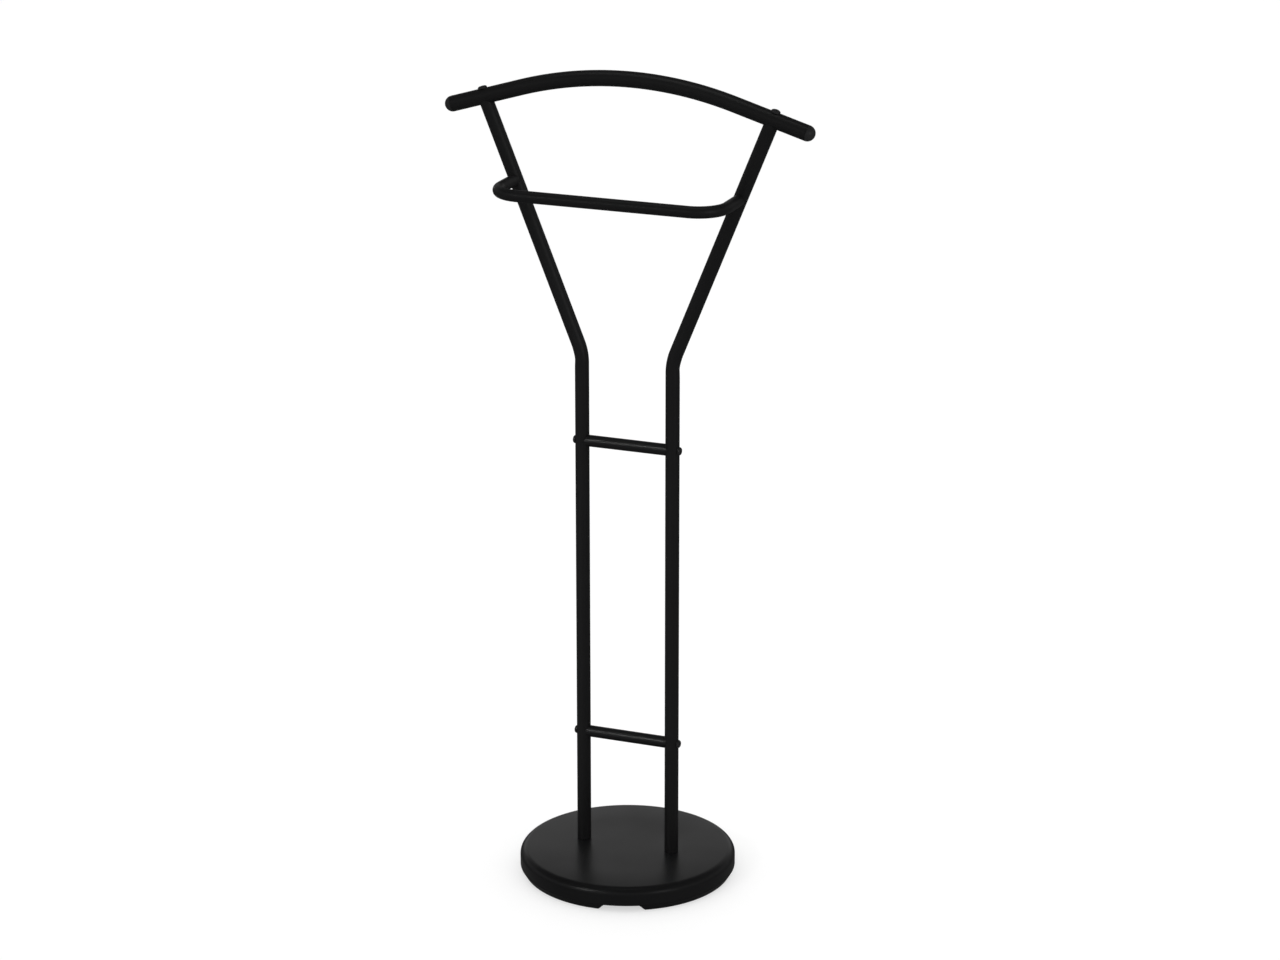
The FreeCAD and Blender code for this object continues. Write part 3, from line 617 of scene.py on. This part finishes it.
def makeUprights():
    # A tube that runs up, bends outwards and is coped to the bar: each line along its skin ends where it is
    # the bar's radius R away from the bar's axis. Counted from the point where the two axes meet, that is
    # (-sqrt(R^2 - y^2) - the line's offset square to the bar) / cos(angle between the tube and that square).
    tangent = upright["bend"] * np.tan(spread / 2)
    straight = upright["spreadStart"] - tangent - upright["foot"]
    bent = upright["bend"] * spread
    rise = jointZ - upright["spreadStart"]
    leaning = rise / np.cos(spread) - tangent
    length = straight + bent + leaning
    toLoop = straight + bent - tangent + (loopHeight - upright["spreadStart"]) / np.cos(spread)
    tube = {"radius": upright["radius"], "wall": upright["wall"], "columns": upright["columns"],
            "lip": upright["lip"], "ease": upright["ease"], "origin": [upright["x"], 0, upright["foot"]],
            "heading": zAxis, "turnSide": xAxis,
            "legs": [(straight, 0), (bent, upright["bend"]), (leaning, 0)]}
    seat = {"height": upright["radius"] - upright["seatDepth"], "full": upright["radius"],
            "reach": upright["seatReach"], "fade": upright["seatFade"]}
    seats = [dict(seat, along=height - upright["foot"], angle=0.0) for height in rungHeights]
    seats.append(dict(seat, along=toLoop, angle=np.pi / 2))
    lean = np.array([np.sin(spread), 0, np.cos(spread)])
    square = np.array([np.sin(slope), 0, np.cos(slope)])
    outward = np.array([np.cos(spread), 0, -np.sin(spread)])

    def foot(radius, angle):
        # Square, at 0.
        return 0 * angle

    def cope(radius, angle):
        # The formula above, counted from the foot.
        sideways = radius * np.sin(angle)
        offset = radius * np.cos(angle) * (outward @ square)
        return length + (-np.sqrt(bar["radius"] ** 2 - sideways ** 2) - offset) / (lean @ square)

    def shape(radius, along, angle):
        # The flats, then the dent: its depth * exp(-(distance / reach)^2) * cos(a)^focus.
        for one in seats:
            radius = pressedFlat(radius, along, angle, one)
        pinch = np.exp(-((along - straight - upright["dentReach"]) / upright["dentReach"]) ** 2)
        facing = np.clip(np.cos(angle), 0, 1) ** upright["dentFocus"]
        return radius - upright["dent"] * pinch * facing

    places = [one["along"] for one in seats] + [straight + bent / 2]
    margin = upright["bendMargin"]
    bendRows = straight + np.linspace(-margin, bent + margin, upright["bendRows"])
    rows = np.unique(np.concatenate([denseRows(length, upright, places), bendRows]))
    rings, _ = tubeShell(tube, rows, foot, cope, shape)
    for name, mirror in (("right", 1), ("left", mirrorX)):
        addPiece(name + "Upright", [(rings * mirror, None)], "powderCoat", [name + "_upright"])


rung = {
    "radius": (lowerHigh[2] - lowerLow[2]) / 2,
    "wall": 1.2,
    "lip": 0.25,
    "ease": 20.0,
    "rowStep": 6.0,
    "columns": 64,
}


def makeRungs():
    # A straight tube between the uprights' axes. Each end is coped: it stops where sqrt(R^2 - y^2) from the
    # upright's axis.
    span = 2 * upright["x"]
    tube = {"radius": rung["radius"], "wall": rung["wall"], "columns": rung["columns"], "lip": rung["lip"],
            "ease": rung["ease"], "heading": xAxis, "turnSide": zAxis, "legs": [(span, 0)]}

    def start(radius, angle):
        # The cope: sqrt(R^2 - y^2), with y = radius * sin a.
        return np.sqrt(upright["radius"] ** 2 - (radius * np.sin(angle)) ** 2)

    def end(radius, angle):
        # Its mirror image: span - cope.
        return span - start(radius, angle)

    for name, height in zip(("lower", "upper"), rungHeights):
        rows = np.arange(0, span, rung["rowStep"])
        shell = tubeShell(dict(tube, origin=[-upright["x"], 0, height]), rows, start, end)
        addPiece(name + "Rung", [shell], "powderCoat", [name + "_rung"])


# Trouser loop, shoulder bar and its caps

loop = {
    "radius": (railHigh[2] - railLow[2]) / 2,
    "wall": 1.2,
    "corner": 36.5,           # bend radius of its two corners
    "flatten": 0.035,         # how much a corner flattens as it is bent
    "flattenFade": 6.0,       # over this length either side of each end of a corner
    "lip": 0.25,
    "ease": 18.0,
    "rowStep": 12.0,
    "bendMargin": 10.0,
    "bendRows": 37,
    "columns": 64,
}
loop["reach"] = -railLow[1] - loop["radius"]


def makeTrouserLoop():
    # Leg, corner, front rail, corner, leg. Each leg's end is coped to the leaning upright: it stops
    # sqrt(R^2 - d^2) in front of its axis, where d is the point's distance from it seen from the front.
    leg = loop["reach"] - loop["corner"]
    corner = loop["corner"] * np.pi / 2
    front = 2 * (loopX - loop["corner"])
    length = 2 * leg + 2 * corner + front
    tube = {"radius": loop["radius"], "wall": loop["wall"], "columns": loop["columns"], "lip": loop["lip"],
            "ease": loop["ease"], "origin": [loopX, 0, loopHeight], "heading": -yAxis, "turnSide": -xAxis,
            "legs": [(leg, 0), (corner, loop["corner"]), (front, 0), (corner, loop["corner"]), (leg, 0)]}

    def start(radius, angle):
        # The cope: sqrt(R^2 - d^2), with d = radius * cos(a + the upright's lean).
        return np.sqrt(upright["radius"] ** 2 - (radius * np.cos(angle + spread)) ** 2)

    def end(radius, angle):
        # Its mirror image: length - cope.
        return length - start(radius, angle)

    def shape(radius, along, angle):
        # Across a corner's bend the radius shrinks by flatten * cos(a)^2.
        toCorner = np.minimum(np.abs(along - leg - corner / 2), np.abs(length - along - leg - corner / 2))
        fade = loop["flattenFade"]
        share = smooth((corner / 2 + fade - toCorner) / (2 * fade))
        return radius * (1 - loop["flatten"] * share * np.cos(angle) ** 2)

    margin = loop["bendMargin"]
    bend = leg + np.linspace(-margin, corner + margin, loop["bendRows"])
    rows = np.unique(np.concatenate([np.arange(0, length, loop["rowStep"]), bend, length - bend]))
    shell = tubeShell(tube, rows, start, end, shape)
    addPiece("trouserLoop", [shell], "powderCoat", ["trouser_loop"])


def makeShoulderBar():
    # A straight end, a shallow arc and a straight end: each end is (half - arcHalf) / cos(slope) long, and
    # the arc is radius * 2 * slope long. Two flats on top seat the bolts.
    straight = (bar["half"] - bar["arcHalf"]) / np.cos(slope)
    arc = 2 * slope * bar["arc"]
    length = 2 * straight + arc
    toJoint = (bar["half"] - bar["joint"]) / np.cos(slope)
    heading = np.array([np.cos(slope), 0, np.sin(slope)])
    down = np.array([np.sin(slope), 0, -np.cos(slope)])
    tube = {"radius": bar["radius"], "wall": bar["wall"], "columns": bar["columns"], "lip": bar["lip"],
            "ease": bar["ease"], "origin": [-bar["half"], 0, endZ], "heading": heading, "turnSide": down,
            "legs": [(straight, 0), (arc, bar["arc"]), (straight, 0)]}
    seat = {"height": bar["radius"] - bar["seatDepth"], "full": bar["radius"], "angle": np.pi,
            "reach": bar["seatReach"], "fade": bar["seatFade"]}
    seats = [dict(seat, along=place) for place in (toJoint, length - toJoint)]

    def start(radius, angle):
        # Square, at 0.
        return 0 * angle

    def end(radius, angle):
        # Square, at the length.
        return length + 0 * angle

    def shape(radius, along, angle):
        # The flats.
        for one in seats:
            radius = pressedFlat(radius, along, angle, one)
        return radius

    rows = denseRows(length, bar, [one["along"] for one in seats])
    shell = tubeShell(tube, rows, start, end, shape)
    addPiece("shoulderBar", [shell], "powderCoat", ["shoulder_bar"])


cap = {
    "plug": 14.0,
    "plugRounding": 0.8,
    "slack": 0.05,            # between the plug and the bore
    "shoulder": 0.05,         # the dome's flat face stands this far off the tube's end
    "shoulderRounding": 0.1,
    "seam": 0.45,             # width and height of the chamfer round the dome's foot, which shows as a seam
    "steps": 26,
    "columns": 72,
}


def makeBarCaps():
    # A dome of the bar's radius over a plug: the dome is radius * (cos t, sin t) from the seam to the pole.
    radius = bar["radius"]
    bore = radius - bar["wall"] - cap["slack"]
    shoulder, fine = cap["shoulder"], cap["shoulderRounding"]
    lift = np.linspace(np.arcsin(cap["seam"] / radius), np.pi / 2, cap["steps"])[:-1]
    dome = np.stack([radius * np.cos(lift), radius * np.sin(lift)], -1)
    plug = softened([(0, -cap["plug"], 0), (bore, -cap["plug"], cap["plugRounding"]), (bore, shoulder, fine),
                     (radius - cap["seam"], shoulder, fine)])[1:]
    outline = np.concatenate([plug, dome])
    grid = turned(outline, cap["columns"])
    poles = np.array([[0, 0, -cap["plug"]], [0, 0, radius]])
    for name, sign in (("right", 1), ("left", -1)):
        axis = np.array([sign * np.cos(slope), 0, -np.sin(slope)])
        origin = [sign * bar["half"], 0, endZ]
        shell = (pointed(grid, origin, axis, yAxis), pointed(poles, origin, axis, yAxis))
        addPiece(name + "BarCap", [shell], "capPolyethylene", [name + "_bar_cap"])


# Bolts

smallBolt = {
    "head": 5.25,             # radius of the head, of its flat top and of the shank
    "crown": 2.75,
    "shank": 2.95,
    "height": 3.3,
    "rim": 0.7,               # height of the head's upright edge
    "edge": 0.2,              # small chamfer under it
    "neck": (0.4, 0.3),       # width and height of the slope from the head to the shank
    "length": 28.0,
    "point": 0.7,             # chamfer at the tip
    "socket": 2.3,            # from its middle to a corner
    "depth": 1.9,
    "floor": 0.97,            # its floor's and its mouth's share of that
    "mouth": 1.02,
    "floorEdge": 0.1,         # heights of the slopes at its floor and its mouth
    "mouthEdge": 0.05,
    "sink": 0.2,              # depth of the countersink round it, and the flat left outside that
    "land": 0.15,
    "crownRows": 14,
    "columns": 72,
}
topBolt = dict(smallBolt, head=6.0, crown=2.9, length=36.0)


def boltShell(bolt, origin, axis, reference):
    # A button head: its crown falls to the rim along a quarter ellipse. The socket's rings are hexagons,
    # with radius = half the width across flats / cos(angle from the nearest flat's middle).
    angle = around(bolt["columns"])
    sixth = np.pi / 3
    flats = bolt["socket"] * np.cos(sixth / 2) / np.cos(np.mod(angle, sixth) - sixth / 2)
    top, head, crown, shank = bolt["height"], bolt["head"], bolt["crown"], bolt["shank"]
    floor, tip, edge, point = top - bolt["depth"], -bolt["length"], bolt["edge"], bolt["point"]
    neck, neckDrop = bolt["neck"]
    mouth = top - bolt["sink"]
    rows = [(flats / 2, floor), (flats * bolt["floor"], floor), (flats, floor + bolt["floorEdge"]),
            (flats, mouth - bolt["mouthEdge"]), (flats * bolt["mouth"], mouth),
            (crown - bolt["land"], top), (crown, top)]
    rows += [(crown + (head - crown) * np.sin(t), bolt["rim"] + (top - bolt["rim"]) * np.cos(t))
             for t in np.linspace(0, np.pi / 2, bolt["crownRows"])[1:]]
    rows += [(head, edge), (head - edge, 0.0), (shank + neck, 0.0), (shank, -neckDrop),
             (shank, tip + point), (shank - point, tip)]
    grid = np.array([np.stack([r * np.cos(angle), r * np.sin(angle), z + 0 * angle], -1) for r, z in rows])
    poles = np.array([[0, 0, floor], [0, 0, tip]])
    return pointed(grid, origin, axis, reference), pointed(poles, origin, axis, reference)


def makeBolts():
    # Each bolt stands on the flat that was pressed for it, its axis square to the tube.
    seat = upright["x"] + upright["radius"] - upright["seatDepth"]
    rungBolts = [boltShell(smallBolt, [side * seat, 0, height], side * xAxis, zAxis)
                 for height in rungHeights for side in (1, -1)]
    addPiece("rungBolts", rungBolts, "blackSteel", ["rung_bolts"])
    behind = upright["radius"] - upright["seatDepth"]
    loopBolts = [boltShell(smallBolt, [side * loopX, behind, loopHeight], yAxis, zAxis) for side in (1, -1)]
    addPiece("loopBolts", loopBolts, "blackSteel", ["loop_bolts"])
    barBolts = []
    for side in (1, -1):
        axis = np.array([side * np.sin(slope), 0, np.cos(slope)])
        origin = np.array([side * bar["joint"], 0, jointZ]) + axis * (bar["radius"] - bar["seatDepth"])
        barBolts.append(boltShell(topBolt, origin, axis, yAxis))
    addPiece("barBolts", barBolts, "blackSteel", ["bar_bolts"])


makeBaseCover()
makeBasePlate()
makeFootPads()
makeUprights()
makeRungs()
makeTrouserLoop()
makeShoulderBar()
makeBarCaps()
makeBolts()

# The hidden pieces keep their CAD meshes.
keptLooks = {"base_weight": "castIron", "plate_screws": "zincPlate", "base_bolts": "zincPlate",
             "base_washers": "zincPlate", "foot_inserts": "zincPlate", "rung_inserts": "zincPlate",
             "loop_inserts": "zincPlate", "top_inserts": "zincPlate"}
for node, look in keptLooks.items():
    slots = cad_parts[node].material_slots
    for slot in slots:
        slot.material = looks[look]
print("kept CAD nodes:", len(keptLooks))


# Floor, studio and camera

studio = {
    "floor": 60.0,            # metres
    "floorColour": "#B0B0B0",
    "floorRoughness": 0.9,
    "floorSpecular": 0.1,
    "floorGlow": 0.58,        # the sheet is lit from below too, so the stand's shadow on it is faint
    "pale": "#FFFFFF",        # what lights the floor and stands behind it
    "paleStrength": 1.0,
    # what gloss sees, from straight down to straight up: share of the way up, and brightness
    "cards": [(0.0, 0.04), (0.32, 0.08), (0.46, 0.04), (0.56, 0.12), (0.64, 0.22), (0.72, 0.10),
              (0.78, 0.02), (1.0, 0.015)],
    # In metres and watts: a softbox with a grid on the rungs, a tall box to the right that runs a highlight
    # down the left upright, a strip box close over the shoulder bar, and a low panel behind that the base's
    # top mirrors.
    "lamps": {
        "softbox": {"aim": (-0.09, 0.0, 0.385), "direction": (-0.35, -0.81, 0.47), "distance": 3.5,
                    "width": 0.6, "depth": 0.5, "power": 0.235, "spread": 12.0},
        "sideBox": {"aim": (-0.12, 0.0, 0.8), "direction": (0.855, -0.489, 0.18), "distance": 3.5,
                    "width": 0.5, "depth": 0.9, "power": 0.3, "spread": 50.0},
        "stripBox": {"aim": (0.0, 0.0, 1.04), "direction": (0.0, -0.16, 0.98), "distance": 0.36,
                     "width": 0.6, "depth": 0.08, "power": 0.10, "spread": 150.0},
        "backPanel": {"aim": (0.0, 0.0, 0.03), "direction": (-0.35, 0.89, 0.30), "distance": 3.0,
                      "width": 3.0, "depth": 0.9, "power": 2.9, "spread": 180.0}},
}


def makeFloor():
    # A pale matt sheet, a square with its middle at the origin. Gloss doesn't see it, as if dark cards lay
    # round the stand.
    half = studio["floor"] / 2
    corners = [(-half, -half, 0), (half, -half, 0), (half, half, 0), (-half, half, 0)]
    mesh = bpy.data.meshes.new("floor")
    mesh.from_pydata(corners, [], [(0, 1, 2, 3)])
    material, tree = newMaterial("pale floor paper")
    paper = addNode(tree, "ShaderNodeBsdfPrincipled", {
        "Base Color": toLinear(studio["floorColour"]), "Roughness": studio["floorRoughness"],
        "Specular IOR Level": studio["floorSpecular"], "Emission Color": toLinear(studio["pale"]),
        "Emission Strength": studio["floorGlow"]})
    addNode(tree, "ShaderNodeOutputMaterial", Surface=paper.outputs["BSDF"])
    mesh.materials.append(material)
    floor = bpy.data.objects.new("floor", mesh)
    bpy.context.scene.collection.objects.link(floor)
    floor.visible_glossy = False


def makeWorld():
    # Pale all round for the floor and the view; gloss sees a ramp of cards by height instead.
    world = bpy.data.worlds.new("studio")
    bpy.context.scene.world = world
    world.use_nodes = True
    tree = world.node_tree
    tree.nodes.clear()
    direction = addNode(tree, "ShaderNodeTexCoord").outputs["Generated"]
    height = addNode(tree, "ShaderNodeSeparateXYZ", Vector=direction).outputs["Z"]
    share = addNode(tree, "ShaderNodeMapRange", {"From Min": -1.0, "From Max": 1.0}, Value=height)
    ramp = addNode(tree, "ShaderNodeValToRGB", Fac=share.outputs["Result"])
    stops = ramp.color_ramp.elements
    for k, (position, bright) in enumerate(studio["cards"]):
        stop = stops[k] if k < 2 else stops.new(position)    # a ramp is made with two stops
        stop.position = position
        stop.color = (bright, bright, bright, 1.0)
    cards = addNode(tree, "ShaderNodeBackground", Color=ramp.outputs["Color"])
    pale = addNode(tree, "ShaderNodeBackground", {
        "Color": toLinear(studio["pale"]), "Strength": studio["paleStrength"]})
    glossy = addNode(tree, "ShaderNodeLightPath").outputs["Is Glossy Ray"]
    either = addNode(tree, "ShaderNodeMixShader", Fac=glossy)
    tree.links.new(pale.outputs["Background"], either.inputs[1])
    tree.links.new(cards.outputs["Background"], either.inputs[2])
    addNode(tree, "ShaderNodeOutputWorld", Surface=either.outputs["Shader"])


def makeLamps():
    # Each lamp is a flat box that stands off its aim along a direction and faces back at it.
    for name, box in studio["lamps"].items():
        light = bpy.data.lights.new(name, "AREA")
        light.shape = "RECTANGLE"
        light.size, light.size_y = box["width"], box["depth"]
        light.energy = box["power"]
        light.spread = np.radians(box["spread"])
        lamp = bpy.data.objects.new(name, light)
        direction = Vector(box["direction"]).normalized()
        lamp.location = Vector(box["aim"]) + direction * box["distance"]
        lamp.rotation_euler = direction.to_track_quat("Z", "Y").to_euler()
        lamp.visible_camera = False
        bpy.context.scene.collection.objects.link(lamp)


camera = {
    "azimuth": 21.528,
    "elevation": 18.003,
    "distance": 4504.0,
    "aim": 500.0,             # height of the point that the distance is measured from
    "toRight": 16.085,        # how far the view's middle lies from that point
    "toTop": 31.257,
    "sensor": 36.0,
    "lens": 100.15,
    "farthest": 200.0,        # metres
}


def makeCamera():
    # The camera's back is (sin a cos e, -cos a cos e, sin e); right and up are square to it.
    a, e = np.radians(camera["azimuth"]), np.radians(camera["elevation"])
    back = np.array([np.sin(a) * np.cos(e), -np.cos(a) * np.cos(e), np.sin(e)])
    right = np.array([np.cos(a), np.sin(a), 0])
    up = np.cross(back, right)
    place = camera["aim"] * zAxis + camera["distance"] * back
    place = place + camera["toRight"] * right + camera["toTop"] * up
    data = bpy.data.cameras.new("camera")
    data.sensor_width = camera["sensor"]
    data.lens = camera["lens"]
    data.clip_end = camera["farthest"]
    made = bpy.data.objects.new("camera", data)
    made.location = place * millimetre
    made.rotation_euler = Vector(-back).to_track_quat("-Z", "Y").to_euler()
    bpy.context.scene.collection.objects.link(made)
    bpy.context.scene.camera = made


makeFloor()
makeWorld()
makeLamps()
makeCamera()
bpy.context.scene.view_settings.view_transform = "Standard"
print("studio and camera")
